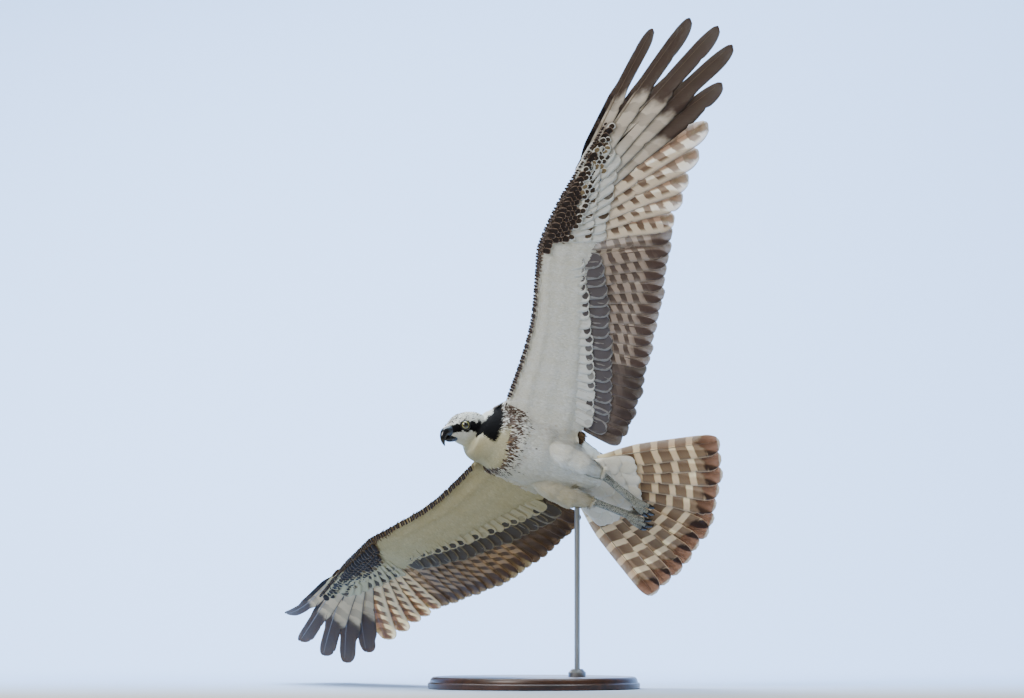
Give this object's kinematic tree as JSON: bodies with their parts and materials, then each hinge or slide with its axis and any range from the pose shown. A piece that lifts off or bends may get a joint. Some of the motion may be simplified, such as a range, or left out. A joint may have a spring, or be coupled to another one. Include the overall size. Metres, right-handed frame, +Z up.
{
  "type": "osprey display model",
  "caption": "Life-size osprey banking in flight with wings raised and tail fanned, held by one rod on a round flat base.",
  "frame": {"origin": "centre of the round base's underside, which rests on the floor", "axes": "+Z up; the picture is seen along +Y with +X to the right; the bird heads towards -X"},
  "size_m": [0.8059, 0.7775, 1.198],
  "materials": {
    "plumage_white": "soft white body feathers",
    "plumage_brown": "dark brown flight feathers",
    "plumage_barred": "brown and buff barred feathers",
    "bill_horn": "smooth black horn",
    "eye_yellow": "wet yellow iris with a black pupil",
    "leg_scale": "pale blue-grey scaled skin",
    "talon_horn": "polished black horn",
    "base_wood": "dark satin wood",
    "rod_steel": "satin steel"
  },
  "bodies": {
    "root": {"bill_lower": "bill_horn", "bill_upper": "bill_horn", "eye_left": "eye_yellow", "eye_right": "eye_yellow", "foot_left": "leg_scale", "foot_right": "leg_scale", "head": "plumage_white", "neck": "plumage_white", "stand_base": "base_wood", "stand_collar": "rod_steel", "stand_rod": "rod_steel", "tail": "plumage_barred", "talon_left_hind": "talon_horn", "talon_left_inner": "talon_horn", "talon_left_middle": "talon_horn", "talon_left_outer": "talon_horn", "talon_right_hind": "talon_horn", "talon_right_inner": "talon_horn", "talon_right_middle": "talon_horn", "talon_right_outer": "talon_horn", "tarsus_left": "leg_scale", "tarsus_right": "leg_scale", "thigh_left": "plumage_white", "thigh_right": "plumage_white", "torso": "plumage_white", "wing_left_arm": "plumage_white", "wing_left_hand": "plumage_brown", "wing_right_arm": "plumage_white", "wing_right_hand": "plumage_brown"}
  },
  "joints": []
}
